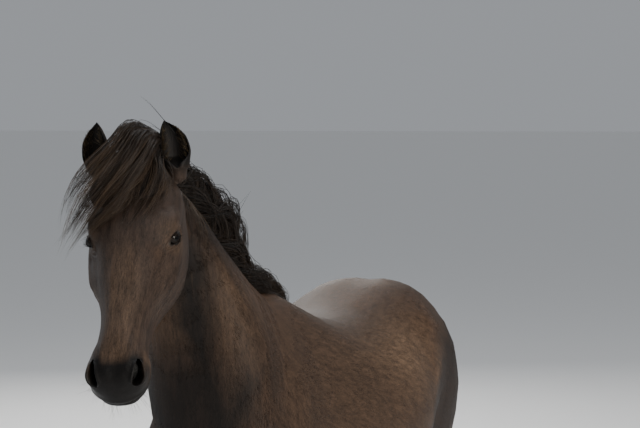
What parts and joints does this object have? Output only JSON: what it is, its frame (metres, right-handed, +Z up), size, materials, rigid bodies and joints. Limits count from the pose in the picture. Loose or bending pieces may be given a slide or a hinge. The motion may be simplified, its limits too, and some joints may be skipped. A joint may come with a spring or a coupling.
{
  "type": "icelandic horse",
  "caption": "Life-size still model of a dark brown Icelandic horse standing square, head raised and turned a little, with a thick black mane, forelock and tail",
  "frame": {"origin": "on the floor under the middle of the bounding box", "axes": "the horse faces -Y, its left side is +X and +Z is up"},
  "size_m": [0.5726, 2.05, 1.7998],
  "materials": {
    "coat": "short dark brown hair coat",
    "hair": "long coarse hair",
    "horn": "satin horn",
    "eye": "wet gloss"
  },
  "bodies": {
    "root": {"eye_left": "eye", "eye_right": "eye", "ear_left": "coat", "ear_right": "coat", "head": "coat", "neck": "coat", "trunk": "coat", "foreleg_left": "coat", "foreleg_right": "coat", "hindleg_left": "coat", "hindleg_right": "coat", "forehoof_left": "horn", "forehoof_right": "horn", "hindhoof_left": "horn", "hindhoof_right": "horn", "tail": "hair", "mane": "hair", "forelock": "hair"}
  },
  "joints": []
}
